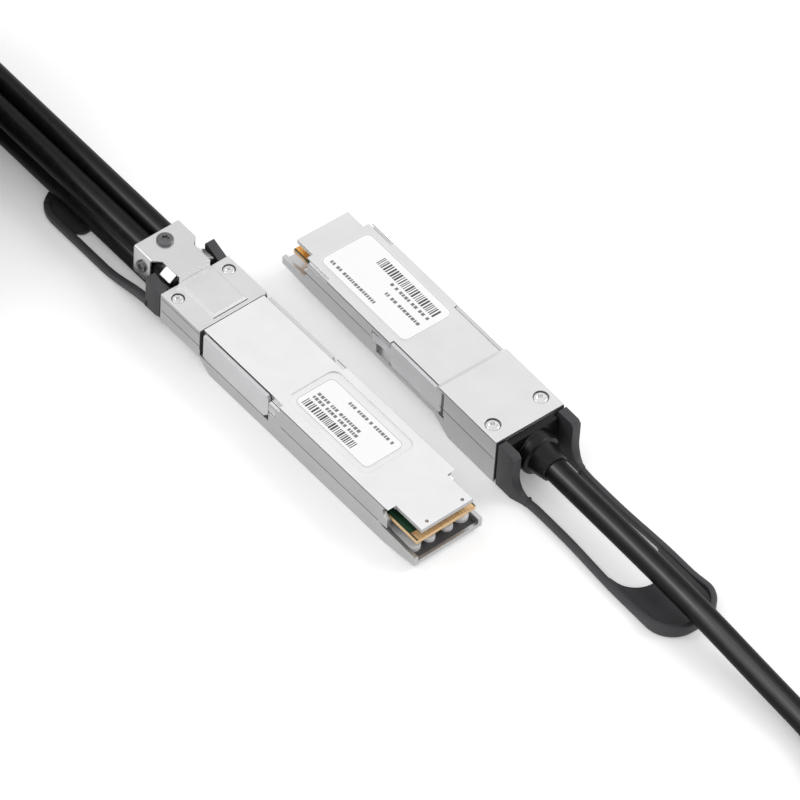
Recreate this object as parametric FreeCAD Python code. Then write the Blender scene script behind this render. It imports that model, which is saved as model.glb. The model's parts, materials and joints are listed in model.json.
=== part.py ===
"""Direct attach copper breakout cable: one wide host plug with a two-by-two stack of cables,
and four smaller leg plugs, each with one cable, a pull tab and a release slider.

Millimetres, +Z up. The floor is z = 0. The origin is on the underside of the host plug.
Each plug is drawn along its own x axis, from its rear face to its nose, and is then placed.
"""

import FreeCAD
import Part
import math
import os

os.makedirs("parts", exist_ok=True)
Vec = FreeCAD.Vector

# Sizes shared by both kinds of plug
plug_w = 18.35  # width of every plug
side_wall = 1.0  # side wall beside the slider plates
plate_t = 0.8  # slider sheet
slide_gap = 0.2  # clear of the slider sheet in its channel
card_t = 1.0  # paddle card
card_gap = 0.1  # clear round the card in its slot
label_t = 0.1  # label film
floor_gap = 0.2  # pull tabs clear the floor
arm_gap = 0.3  # pull tab clear of the rear face
skin_t = 0.8  # outer skin beside the slider channel
cable_d = 5.5  # cable jacket
cable_gap = 0.1  # between jackets in the stack

# Host plug
h_h = 10.8  # body height
h_len = 85.1  # rear face to the tip of the lower shell
h_origin = 45.0  # distance from the rear face to the origin
h_cap_len = 13.3  # rear cap
h_cap_under = 2.7  # the rear is shallower: its underside
h_ramp = (13.5, 17.0)  # the underside ramps down between these
h_cap_seam = 6.0  # cap above, lower shell below
h_seam = 5.0  # cover above, lower shell below
h_nose_seam = 4.2
h_tip_z = (1.5, 3.9)  # bottom and top of the lower shell's tip
h_cover_x = 13.5  # cover starts here
h_full_x = 75.9  # full width of the cover ends here
h_cover_end = 84.2
h_tip_w = 13.9  # width of the cover's tip
h_cav_x = 66.0  # the nose is hollow from here
h_top_t = 1.1  # cover sheet over the nose
h_core = 6.8  # lower shell's seat for the card
h_card_x = (52.0, 84.1)
h_card_w = 15.9
h_plate_x = (14.6, 36.5)  # slider plate on each side
h_plate_z = (3.6, 10.5)
h_arm_z = (4.0, 7.5)  # slider arm inside the cap
h_travel_gap = 1.1  # slot for the shoulder's travel
h_latch_x = (35.4, 40.2)
h_floor = 2.5  # floor of the nose cavity
h_rib_y = (-7.3, -2.45, 2.45, 7.3)
h_rib_w = 3.0
h_rib_h = 1.2
h_rib_len = 15.5
h_label = (40.2, 64.4, -5.6, 5.3)
h_label_r = 1.5
h_label_pocket = (38.8, 65.7, -6.9, 7.1)
h_pocket = 0.25  # depth of the label's seat
h_plateau = (0.0, 12.1, -4.6, 4.8)
h_plateau_h = 0.3
h_screw_x = 3.1
h_screw_y = 6.95
h_screw_d = 3.0
h_stack_z = 4.15  # axis of the lower pair of cables
clamp_t = 0.5
clamp_x = (-13.1, -7.5)
clamp_front_x = -5.6
clamp_w = 12.4
clamp_front_w = 8.4
clamp_flap_z = 5.4
clamp_screw_x = -10.2
clamp_screw_d = 3.8
clamp_side_z = 8.9  # side screws
h_ear = (-5.2, 10.2, 12.0)  # back end, top at the plug, top at the back
h_tab_end = -46.0
h_tab_hole = (-10.0, -31.0)
h_tab_arm = 1.5

# Leg plug
l_h = 12.6  # rear block's height
l_len = 72.7
l_rear_len = 19.0  # rear block
l_step_x = 20.3  # foot of the step in the top
l_top = 11.65  # top of the front part
l_under = 3.4  # underside of the front part
l_ramp = (14.9, 20.3)
l_rear_seam = 7.1
l_seam = 7.9
l_full_x = 65.3
l_cover_end = 70.7
l_tip_w = 13.8
l_cav_x = 55.0
l_top_t = 1.1
l_lip_z = 6.0
l_floor = 4.6
l_ledge_x = 57.7
l_ledge = 0.8
l_card_x = (46.0, 70.9)
l_card_w = 15.15
l_plate_x = (18.2, 35.5)
l_plate_z = (4.9, 11.5)
l_arm_z = (5.5, 10.4)
l_travel_gap = 0.9
l_window_x = (35.5, 41.9)
l_window_z = (4.8, 10.1)
l_tongue_z = (7.6, 9.8)
l_tongue_x = 41.4
l_label = (33.9, 63.4, -6.95, 6.95)
l_label_r = 1.8
l_screw_x = 4.4
l_screw_y = 6.5
l_screw_d = 3.6
l_cable_z = 6.25
l_pocket = (6.0, 11.2, 1.0, 11.5)  # boot seat: depth, width, bottom, top
boot_gap = 0.1
collar_d = 10.0
collar_end = -4.6
nozzle_d = 6.6
nozzle_end = -9.0
l_ear_x = -5.8
l_ear_t = 2.2
l_tab_neck = 7.9  # half width beside the finger gap
l_tab_wide = 8.6  # half width near the end
l_tab_end = -56.5
l_tab_r = 7.0
l_tab_arm = 1.4
l_tab_hole = (-10.0, -38.0)
l_rim_z = 3.0
l_rim_x = -50.5
web_t = 0.8
bar_h = 1.8

# Where the leg plugs lie, with the way from rear face to nose, degrees
leg_at = {
    1: (42.8, -2.1, 133.7),
    2: (-120.0, -49.0, -90.0),
    3: (-144.0, -49.0, -90.0),
    4: (-168.5, -49.0, -90.0),
}

# Cords
coil_at = (-128.5, 64.44)
coil_r = (15.8, 51.0)
coil_sides = (32, 48)  # flats that stand for its inner and outer round
coil_h = 45.0
lead_side = (cable_d + cable_gap) / 2
lead_top_z = h_stack_z + cable_d
# each lead: side of the plug's axis, height of its axis, front end and end inside the coil
leads = {
    1: (-lead_side, h_stack_z, 0.0, -66.2),
    2: (-lead_side, lead_top_z, -clamp_t, -66.2),
    3: (lead_side, h_stack_z, 0.0, -77.5),
    4: (lead_side, lead_top_z, -clamp_t, -77.5),
}
leg_dir = math.radians(leg_at[1][2])


def behind_leg_1(a, off, z):
    """A point that lies a behind leg plug 1's rear face and off to its side."""
    c, s = math.cos(leg_dir), math.sin(leg_dir)
    return (leg_at[1][0] - a * c - off * s, leg_at[1][1] - a * s + off * c, z)


tails = {
    1: [
        (-121.5, 20.9, 2.85), (-102.6, 14.0, 2.85), (-90.8, -3.0, 2.85), (-91.7, -50.0, 2.85),
        (-91.0, -93.3, 2.85), (-81.9, -109.1, 2.85), (-66.1, -118.2, 2.85), (-20.0, -117.6, 2.85),
        (26.0, -118.4, 2.85), (62.0, -118.0, 2.85), (93.8, -118.7, 2.85), (112.3, -100.6, 2.85),
        (112.7, -75.3, 2.85), behind_leg_1(76.0, 0.0, 4.2), behind_leg_1(57.5, 0.3, 6.3),
        behind_leg_1(34.0, 0.0, l_cable_z), behind_leg_1(-nozzle_end, 0.0, l_cable_z),
    ],
    2: [
        (-145.0, 20.9, 19.4), (-134.6, 10.5, 17.6), (-126.5, 1.0, 13.0), (-120.0, -14.5, 7.6),
        (-120.0, -28.5, l_cable_z), (-120.0, leg_at[2][1] - nozzle_end, l_cable_z),
    ],
    3: [
        (-156.5, 28.0, 25.2), (-148.1, 13.4, 22.5), (-144.0, -1.85, 15.0), (-144.0, -18.0, 8.2),
        (-144.0, -29.0, l_cable_z), (-144.0, leg_at[3][1] - nozzle_end, l_cable_z),
    ],
    4: [
        (-168.5, 46.0, 36.4), (-168.5, 31.0, 35.6), (-168.5, 14.0, 26.0), (-168.5, -8.0, 12.0),
        (-168.5, -24.0, l_cable_z), (-168.5, leg_at[4][1] - nozzle_end, l_cable_z),
    ],
}

half = plug_w / 2
core_half = half - side_wall - card_gap
channel = (half - skin_t - plate_t - 2 * slide_gap, half - skin_t)
arm_y = (half - skin_t - slide_gap - plate_t, half - skin_t - slide_gap)
plate_y = (half - plate_t, half)


# Drawing helpers
def box(x0, x1, y0, y1, z0, z1):
    x0, x1 = min(x0, x1), max(x0, x1)
    y0, y1 = min(y0, y1), max(y0, y1)
    return Part.makeBox(x1 - x0, y1 - y0, z1 - z0, Vec(x0, y0, z0))


def block(x0, x1, width, z0, z1):
    return box(x0, x1, -width / 2, width / 2, z0, z1)


def side_profile(points, y0, y1):
    """A closed outline in the xz plane, drawn across from y0 to y1."""
    pts = [Vec(x, y0, z) for x, z in points]
    face = Part.Face(Part.makePolygon(pts + pts[:1]))
    return face.extrude(Vec(0, y1 - y0, 0))


def plan_profile(points, z0, z1):
    pts = [Vec(x, y, z0) for x, y in points]
    return Part.Face(Part.makePolygon(pts + pts[:1])).extrude(Vec(0, 0, z1 - z0))


def cross_profile(points, x0, x1):
    pts = [Vec(x0, y, z) for y, z in points]
    return Part.Face(Part.makePolygon(pts + pts[:1])).extrude(Vec(x1 - x0, 0, 0))


def round_plan(x0, x1, y0, y1, r, z0, z1, steps=4):
    """A plate with rounded corners."""
    pts = []
    for cx, cy, a in ((x1 - r, y1 - r, 0), (x0 + r, y1 - r, 90), (x0 + r, y0 + r, 180),
                      (x1 - r, y0 + r, 270)):
        for i in range(steps + 1):
            t = math.radians(a + 90 * i / steps)
            pts.append((cx + r * math.cos(t), cy + r * math.sin(t)))
    return plan_profile(pts, z0, z1)


def ring_points(d, sides):
    """Corners of a regular polygon with the area of a circle of that diameter, flats down."""
    r = d / 2 * math.sqrt(2 * math.pi / (sides * math.sin(2 * math.pi / sides)))
    turn = [2 * math.pi * (i + 0.5) / sides for i in range(sides)]
    return [(r * math.sin(t), -r * math.cos(t)) for t in turn]


def disc(x, y, z0, z1, d, sides=20):
    return plan_profile([(x + a, y + b) for a, b in ring_points(d, sides)], z0, z1)


def rod(x0, x1, y, z, d, sides=28, d_end=None):
    """A round bar along x, tapered where its far end has a size of its own."""
    if d_end is None:
        return cross_profile([(y + a, z + b) for a, b in ring_points(d, sides)], x0, x1)
    wires = []
    for x, size in ((x0, d), (x1, d_end)):
        pts = [Vec(x, y + a, z + b) for a, b in ring_points(size, sides)]
        wires.append(Part.makePolygon(pts + pts[:1]))
    return Part.makeLoft(wires, True)


def stud(x, y0, y1, z, d, sides=18):
    """A round bar across the plug."""
    pts = [Vec(x + a, y0, z + b) for a, b in ring_points(d, sides)]
    return Part.Face(Part.makePolygon(pts + pts[:1])).extrude(Vec(0, y1 - y0, 0))


def join(*parts):
    out = parts[0]
    for p in parts[1:]:
        out = out.fuse(p)
    return out.removeSplitter()


def both(shape):
    """The shape and its mirror image across the plug's middle plane."""
    return shape, shape.mirror(Vec(0, 0, 0), Vec(0, 1, 0))


def less(shape, *cuts):
    for c in cuts:
        shape = shape.cut(c)
    return shape


def hexagon(x, y, z0, z1, across):
    r = across / math.sqrt(3)
    pts = [
        (x + r * math.cos(math.radians(a)), y + r * math.sin(math.radians(a)))
        for a in range(0, 360, 60)
    ]
    return plan_profile(pts, z0, z1)


def export(shape, name, at=None):
    if len(shape.Solids) == 1:
        shape = shape.Solids[0]
    if at is not None:
        shape = shape.copy()
        shape.Placement = at.multiply(shape.Placement)
    if not shape.isValid():
        print("not valid:", name)
    shape.exportStep("parts/" + name + ".step")


def set_down(x, y, degrees):
    return FreeCAD.Placement(Vec(x, y, 0), FreeCAD.Rotation(Vec(0, 0, 1), degrees))


# Cords: straight runs joined by tangent arcs
def cord_tube(points, d, name, sides=8):
    pts = [Vec(*p) for p in points]
    runs = [(b - a).Length for a, b in zip(pts, pts[1:])]
    way = (pts[1] - pts[0]).normalize()
    across = way.cross(Vec(0, 0, 1)).normalize()
    up = across.cross(way)
    corners = [pts[0] + across * a + up * b for a, b in ring_points(d, sides)]
    section = Part.Face(Part.makePolygon(corners + corners[:1]))
    area = section.Area
    pieces, radii, length, start = [], [], 0.0, pts[0]
    for i in range(1, len(pts) - 1):
        a = (pts[i] - pts[i - 1]).normalize()
        b = (pts[i + 1] - pts[i]).normalize()
        turn = a.getAngle(b)
        reach = 0.45 * min(runs[i - 1], runs[i])
        radius = reach / math.tan(turn / 2)
        radii.append(radius)
        p, q = pts[i] - a * reach, pts[i] + b * reach
        centre = pts[i] + (b - a).normalize() * (radius / math.cos(turn / 2))
        axis = a.cross(b).normalize()
        pieces.append(section.extrude(p - start))
        section = section.translated(p - start)
        pieces.append(section.revolve(centre, axis, math.degrees(turn)))
        section = section.rotated(centre, axis, math.degrees(turn))
        length += (p - start).Length + radius * turn
        start = q
    pieces.append(section.extrude(pts[-1] - start))
    length += (pts[-1] - start).Length
    solid = pieces[0].multiFuse(pieces[1:]).removeSplitter()
    print(
        name, "length %.1f" % length, "volume ratio %.4f" % (solid.Volume / (area * length)),
        "runs", [round(r) for r in runs], "radii", [round(r) for r in radii],
    )
    return solid


# Host plug
def host_lower_shell():
    side = [
        (0, h_cap_under), (h_ramp[0], h_cap_under), (h_ramp[1], 0), (74.5, 0),
        (h_len, h_tip_z[0]), (h_len, h_tip_z[1]), (h_full_x, h_nose_seam), (h_full_x - 1.2, h_nose_seam),
        (h_full_x - 2.4, h_seam), (h_cap_len, h_seam), (h_cap_len, h_cap_seam), (0, h_cap_seam),
    ]
    body = side_profile(side, -half, half)
    core = block(h_cover_x + card_gap, h_cav_x, 2 * core_half, h_seam - 0.5, h_core)
    body = join(body, core)
    cavity = block(h_cav_x, h_len + 1, 2 * (half - side_wall), h_floor, h_core + 5)
    body = less(body, cavity)
    ribs = []
    for y in h_rib_y:
        pts = [
            (y - h_rib_w / 2, h_floor - 0.3), (y - h_rib_w / 2, h_floor + 0.5),
            (y - h_rib_w / 4, h_floor + h_rib_h), (y + h_rib_w / 4, h_floor + h_rib_h),
            (y + h_rib_w / 2, h_floor + 0.5), (y + h_rib_w / 2, h_floor - 0.3),
        ]
        ribs.append(cross_profile(pts, h_cav_x - 0.5, h_cav_x + h_rib_len))
    body = join(body, *ribs)
    for s in (-1, 1):
        # slider channel in the rear, open at the rear, at the front and below
        body = less(
            body,
            box(-1, h_cover_x + 1.2, s * channel[0], s * channel[1],
                h_arm_z[0] - slide_gap, h_cap_seam + 1),
            box(1.2, 11.2, s * channel[0], s * channel[1], h_cap_under - 1, h_arm_z[1]),
            # seat of the plate, flush with the side
            box(h_plate_x[0] - h_travel_gap, h_plate_x[1] + slide_gap, s * (half - side_wall),
                s * (half + 1), h_plate_z[0] - slide_gap, h_h),
            box(h_plate_x[0] - h_travel_gap, h_plate_x[0] + 1.4, s * channel[0], s * (half + 1),
                h_arm_z[0] - slide_gap, h_arm_z[1] + slide_gap),
        )
    return body


def host_cover():
    outer = block(h_cover_x, h_full_x, plug_w, h_seam, h_h)
    tip = block(h_full_x - 1, h_cover_end, h_tip_w, h_h - h_top_t, h_h)
    shell = join(outer, tip)
    inner = 2 * (half - side_wall)
    shell = less(
        shell,
        block(h_cover_x - 1, h_cav_x, inner, h_seam - 1, h_core),
        block(h_cav_x, h_cover_end + 1, inner, h_seam - 1, h_h - h_top_t),
        block(h_card_x[0] - card_gap, h_cav_x + 1, h_card_w + 2 * card_gap, h_core - 0.5,
              h_core + card_t + card_gap),
        # arched corner windows
        *both(stud(h_full_x, half - 2, half + 1, h_h - h_top_t - 0.6, 3.2)),
        round_plan(*h_label_pocket, h_label_r + 0.6, h_h - h_pocket, h_h + 1),
        *[disc(h_cover_end - 1.2, y, h_h - 2, h_h + 1, 0.8) for y in (-4.6, 5.0)],
    )
    for s in (-1, 1):
        shell = less(
            shell,
            box(h_cover_x - 1, h_plate_x[1] + slide_gap, s * (half - side_wall), s * (half + 1),
                h_seam - 1, h_h + 1),
            box(h_cover_x - 1, h_plate_x[0] + 1.4, s * channel[0], s * (half + 1),
                h_arm_z[0] - slide_gap, h_arm_z[1] + slide_gap),
            # notch and pocket of the latch
            box(h_latch_x[0], h_latch_x[1], s * (half - side_wall), s * (half + 1),
                h_h - 1.6, h_h + 1),
            box(h_latch_x[0], h_latch_x[1] - 1.4, s * (half - side_wall), s * (half + 1),
                h_h - 4.9, h_h - 2.6),
        )
    return shell


def host_rear_cap():
    cap = block(0, h_cap_len, plug_w, h_cap_seam, h_h)
    x0, x1, y0, y1 = h_plateau
    raised = Part.makeLoft(
        [
            Part.makePolygon([Vec(a, b, z) for a, b in
                              ((x0, y0 + k), (x1 - k, y0 + k), (x1 - k, y1 - k), (x0, y1 - k),
                               (x0, y0 + k))])
            for k, z in ((0.0, h_h - 0.2), (0.5, h_h + h_plateau_h))
        ],
        True,
    )
    cap = join(cap, raised)
    for s in (-1, 1):
        cap = less(
            cap,
            box(-1, h_cap_len + 1, s * channel[0], s * channel[1], h_cap_seam - 1,
                h_arm_z[1] + slide_gap),
            disc(h_screw_x, s * h_screw_y, h_h - 0.9, h_h + 1, h_screw_d),
        )
    return cap.removeSplitter()


def host_cap_screws():
    out = []
    for s in (-1, 1):
        head = disc(h_screw_x, s * h_screw_y, h_h - 0.9, h_h - 0.3, h_screw_d - 0.4)
        out.append(less(head, hexagon(h_screw_x, s * h_screw_y, h_h - 0.7, h_h, 1.1)))
    return Part.makeCompound(out)


def host_card():
    return block(h_card_x[0], h_card_x[1], h_card_w, h_core, h_core + card_t)


def host_slider():
    parts = []
    for s in (-1, 1):
        x0, x1 = h_plate_x
        plate = side_profile(
            [(x0, h_plate_z[0] + 0.4), (x0, h_plate_z[1]), (x1 - 0.6, h_plate_z[1]),
             (x1, h_plate_z[1] - 1.2), (x1, h_plate_z[0] + 1.4), (x1 - 1.4, h_plate_z[0]),
             (x0 + 0.8, h_plate_z[0])],
            s * plate_y[0], s * plate_y[1],
        )
        shoulder = box(x0, x0 + 1.0, s * arm_y[0], s * plate_y[1], h_arm_z[0], h_arm_z[1])
        arm = box(h_ear[0] + 1.2, x0 + 1.0, s * arm_y[0], s * arm_y[1], h_arm_z[0], h_arm_z[1])
        leg = box(2.6, 10.4, s * arm_y[0], s * arm_y[1], h_cap_under - 0.9, h_arm_z[0] + 0.2)
        tongue = box(x1 - 0.5, x1 + 2.2, s * plate_y[0], s * (plate_y[1] - 0.2),
                     h_h - 4.7, h_h - 2.9)
        parts += [plate, shoulder, arm, leg, tongue]
    bridge = box(2.6, 10.4, -arm_y[1], arm_y[1], h_cap_under - 0.9, h_cap_under - 0.3)
    return join(bridge, *parts)


def host_pull_tab():
    back, top_front, top_back = h_ear
    ear_in = half - 2.2
    parts = []
    for s in (-1, 1):
        ear = side_profile([(-arm_gap, 3.2), (-arm_gap, top_front), (back + 0.4, top_back),
                            (back, top_back - 0.4), (back, 2.7), (-2.0, 2.7)],
                           s * ear_in, s * half)
        arm = side_profile([(back + 1.0, 2.7), (back + 1.0, 5.0), (back - 0.4, 4.9),
                            (back - 6.0, 3.6), (-21.0, 2.0), (-24.0, 2.0), (-24.0, floor_gap),
                            (-20.0, floor_gap), (back - 0.4, 2.5)],
                           s * (half - h_tab_arm), s * half)
        parts += [ear, arm]
    end = h_tab_end
    r = 8.0
    outer = round_plan(end, -12.0, -half, half, r, floor_gap, floor_gap + bar_h)
    outer = less(outer, box(-23.5, 0, -half - 1, half + 1, -1, 5))
    inner = round_plan(end + h_tab_arm, -2.0, -half + h_tab_arm, half - h_tab_arm,
                       r - h_tab_arm, -1, 5)
    rim = less(outer, inner)
    # the rim stays below the cables that pass over it
    under = 2 * lead_side + cable_d + 1.5
    rim = less(rim, box(end - 1, end + 8, -under / 2, under / 2, floor_gap + web_t, 5))
    web = round_plan(end + 0.4, h_tab_hole[1] + 0.0, -half + 0.4, half - 0.4, 3.0,
                     floor_gap, floor_gap + web_t)
    web = web.common(join(outer, inner))
    arms = join(rim, web, *parts)
    for s in (-1, 1):
        arms = less(arms, box(h_ear[0] + 1.2, 1, s * arm_y[0], s * arm_y[1],
                              h_arm_z[0], h_arm_z[1]))
    return arms


def host_cable_clamp():
    x0, x1 = clamp_x
    z1 = lead_top_z + cable_d / 2 + clamp_t
    w, fw = clamp_w / 2, clamp_front_w / 2
    plan = [(x0, -w), (x1, -w), (clamp_front_x, -fw), (0, -fw), (0, fw), (clamp_front_x, fw),
            (x1, w), (x0, w)]
    top = plan_profile(plan, z1 - clamp_t, z1)
    bend = 1.2
    pieces = [top]
    for s in (-1, 1):
        flap = box(x0, x1, s * (w - clamp_t), s * w, clamp_flap_z, z1)
        pieces.append(flap)
        slope = cross_profile(
            [(s * (fw - 0.3), z1), (s * (fw - 0.3), z1 - clamp_t), (s * (fw + 1.5), z1 - 2.0),
             (s * (fw + 1.9), z1 - 1.6)],
            clamp_front_x + 1.2, -1.0,
        )
        pieces.append(slope)
    flange = less(block(-clamp_t, 0, clamp_front_w, 7.6, z1), rod(-2, 1, 0, 7.6, 2.4))
    pieces.append(flange)
    clamp = join(*pieces)
    edges = [
        e for e in clamp.Edges
        if abs(e.BoundBox.ZMin - z1) < 1e-4 and abs(e.BoundBox.ZMax - z1) < 1e-4
        and abs(abs(e.BoundBox.YMin) - w) < 1e-4 and e.BoundBox.YLength < 1e-4
    ]
    clamp = clamp.makeFillet(min(bend, clamp_t * 0.9), edges)
    clamp = less(clamp, disc(clamp_screw_x, 0, z1 - 1, z1 + 1, 1.8))
    for s in (-1, 1):
        clamp = less(clamp, stud(clamp_screw_x, s * (w - 1), s * (w + 1), clamp_side_z, 1.6))
    return clamp


def host_clamp_screws():
    z1 = lead_top_z + cable_d / 2 + clamp_t
    w = clamp_w / 2
    head = join(
        disc(clamp_screw_x, 0, z1, z1 + 0.7, clamp_screw_d, 28),
        disc(clamp_screw_x, 0, z1 - clamp_t, z1 + 0.2, 1.8),
    )
    head = less(head, hexagon(clamp_screw_x, 0, z1 + 0.15, z1 + 2, 1.6))
    out = [head]
    for s in (-1, 1):
        screw = stud(clamp_screw_x, s * w, s * (w + 0.6), clamp_side_z, 2.9)
        stub = stud(clamp_screw_x, s * (w - clamp_t), s * (w + 0.1), clamp_side_z, 1.6)
        out.append(join(screw, stub))
    return Part.makeCompound(out)


def host_label():
    return round_plan(*h_label, h_label_r, h_h - h_pocket, h_h - h_pocket + label_t)


# Leg plug
def leg_lower_shell():
    side = [
        (0, 0), (l_ramp[0], 0), (l_ramp[1], l_under), (63.0, l_under), (l_len, 4.0),
        (l_len, l_lip_z), (l_full_x + 0.2, l_lip_z), (l_full_x - 1.2, l_seam),
        (l_step_x, l_seam), (l_rear_len, l_rear_seam), (0, l_rear_seam),
    ]
    body = side_profile(side, -half, half)
    depth, width, z0, z1 = l_pocket
    body = less(
        body,
        block(l_cav_x, l_len + 1, 2 * (half - side_wall), l_floor, l_seam + 5),
        block(-1, depth, width, z0, l_h),
    )
    for s in (-1, 1):
        body = less(
            body,
            box(-1, l_plate_x[0] + 1.4, s * channel[0], s * channel[1],
                l_arm_z[0] - slide_gap, l_h),
            box(l_plate_x[0] - l_travel_gap, l_plate_x[1] + slide_gap, s * (half - side_wall),
                s * (half + 1), l_plate_z[0] - slide_gap, l_h),
            box(l_plate_x[0] - l_travel_gap, l_plate_x[0] + 1.4, s * channel[0], s * (half + 1),
                l_arm_z[0] - slide_gap, l_h),
            box(l_window_x[0], l_window_x[1] - 1.8, s * (half - side_wall), s * (half + 1),
                l_window_z[0], l_h),
            box(l_window_x[1] - 2.0, l_window_x[1], s * (half - side_wall), s * (half + 1),
                l_tongue_z[0] - 0.3, l_h),
            # drip notch behind the ramp
            box(17.0, l_plate_x[0] + 0.4, s * (half - side_wall), s * (half + 1), 4.2, 5.2),
        )
    return body


def leg_cover():
    side = [
        (0, l_rear_seam), (l_rear_len, l_rear_seam), (l_step_x, l_seam), (l_full_x, l_seam),
        (l_full_x, l_top - l_top_t), (l_cover_end, l_top - l_top_t), (l_cover_end, l_top),
        (l_step_x, l_top), (l_rear_len, l_h), (0, l_h),
    ]
    body = side_profile(side, -half, half)
    depth, width, z0, z1 = l_pocket
    cuts = [
        block(l_cav_x, l_cover_end + 1, 2 * (half - side_wall), l_seam - 1, l_top - l_top_t),
        block(l_card_x[0] - card_gap, l_cav_x + 1, l_card_w + 2 * card_gap, l_seam - 1,
              l_seam + card_t + card_gap),
        block(-1, depth, width, l_rear_seam - 1, z1),
        *both(stud(l_full_x, half - 2, half + 1, l_top - l_top_t - 0.7, 2.85)),
    ]
    for s in (-1, 1):
        cuts += [
            box(l_full_x, l_cover_end + 1, s * l_tip_w / 2, s * (half + 1), 0, l_h),
            box(l_ledge_x, l_full_x + 1, s * (half - l_ledge), s * (half + 1),
                l_top - 0.7, l_h),
            box(-1, l_plate_x[0] + 1.4, s * channel[0], s * channel[1], 0,
                l_arm_z[1] + slide_gap),
            box(l_plate_x[0] - l_travel_gap, l_plate_x[1] + slide_gap, s * (half - side_wall),
                s * (half + 1), 0, l_plate_z[1] + slide_gap),
            box(l_plate_x[0] - l_travel_gap, l_plate_x[0] + 1.4, s * channel[0], s * (half + 1),
                0, l_arm_z[1] + slide_gap),
            box(l_window_x[0], l_window_x[1] - 1.8, s * (half - side_wall), s * (half + 1),
                0, l_window_z[1]),
            side_profile(
                [(l_window_x[1] - 2.0, l_tongue_z[0] - 0.3),
                 (l_window_x[1] - 2.0, l_window_z[1]), (l_window_x[1], l_tongue_z[1] + 0.1),
                 (l_window_x[1], l_tongue_z[0] - 0.3)],
                s * (half - side_wall), s * (half + 1)),
            disc(l_screw_x, s * l_screw_y, l_h - 1.0, l_h + 1, l_screw_d),
        ]
    return less(body, *cuts)


def leg_screws():
    out = []
    for s in (-1, 1):
        head = disc(l_screw_x, s * l_screw_y, l_h - 1.0, l_h - 0.2, l_screw_d - 0.4)
        out.append(less(head, hexagon(l_screw_x, s * l_screw_y, l_h - 0.7, l_h, 1.5)))
    return Part.makeCompound(out)


def leg_card():
    return block(l_card_x[0], l_card_x[1], l_card_w, l_seam, l_seam + card_t)


def leg_label():
    return round_plan(*l_label, l_label_r, l_top, l_top + label_t)


def leg_boot():
    depth, width, z0, z1 = l_pocket
    seat = box(0, depth, -width / 2 + boot_gap, width / 2 - boot_gap, z0 + boot_gap,
               z1 - boot_gap)
    flange = block(-1.6, 0, 2 * (half - l_ear_t - arm_gap), z0 + boot_gap, z1 - boot_gap)
    collar = rod(collar_end, -1.4, 0, l_cable_z, collar_d)
    nozzle = rod(nozzle_end, collar_end, 0, l_cable_z, nozzle_d, 28, collar_d - 2.0)
    return join(seat, flange, collar, nozzle)


def leg_slider():
    parts = []
    for s in (-1, 1):
        x0, x1 = l_plate_x
        plate = side_profile(
            [(x0, l_plate_z[0] + 0.8), (x0, l_plate_z[1]), (x1, l_plate_z[1]),
             (x1, l_plate_z[0] + 1.0), (x1 - 1.0, l_plate_z[0]), (x0 + 0.8, l_plate_z[0])],
            s * plate_y[0], s * plate_y[1])
        shoulder = box(x0, x0 + 1.0, s * arm_y[0], s * plate_y[1], l_arm_z[0], l_arm_z[1])
        arm = box(l_ear_x + 1.0, x0 + 1.0, s * arm_y[0], s * arm_y[1], l_arm_z[0], l_arm_z[1])
        tongue = plan_profile(
            [(x1 - 0.5, s * plate_y[0]), (x1 - 0.5, s * plate_y[1]),
             (x1 + 3.4, s * (plate_y[1] - 0.05)), (l_tongue_x, s * (plate_y[1] + 0.35)),
             (l_tongue_x, s * (plate_y[1] - 0.25)), (x1 + 3.4, s * (plate_y[0] + 0.05))],
            *l_tongue_z)
        parts += [plate, shoulder, arm, tongue]
    # the two arms are one bent sheet: a bridge passes through the rear block over the core
    bridge = box(9.0, 14.0, -arm_y[1], arm_y[1], l_arm_z[1] - 0.6, l_arm_z[1])
    return join(bridge, *parts)


def leg_tab_plan(inset, x_rear):
    """Outline of the pull tab seen from above, the inset is taken off all round."""
    k = inset
    r = l_tab_r - k
    end = l_tab_end + k
    n, w = l_tab_neck - k, l_tab_wide - k
    pts_r = [(x_rear, n), (-22.0, n), (-39.0, w), (end + r, w)]
    for i in range(1, 6):
        t = math.radians(90 * i / 6)
        pts_r.append((end + r - r * math.sin(t), w - r + r * math.cos(t)))
    pts_r.append((end, w - r))
    pts = [Vec(x, y, 0) for x, y in pts_r] + [Vec(x, -y, 0) for x, y in reversed(pts_r)]
    return Part.Face(Part.makePolygon(pts + pts[:1]))


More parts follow.
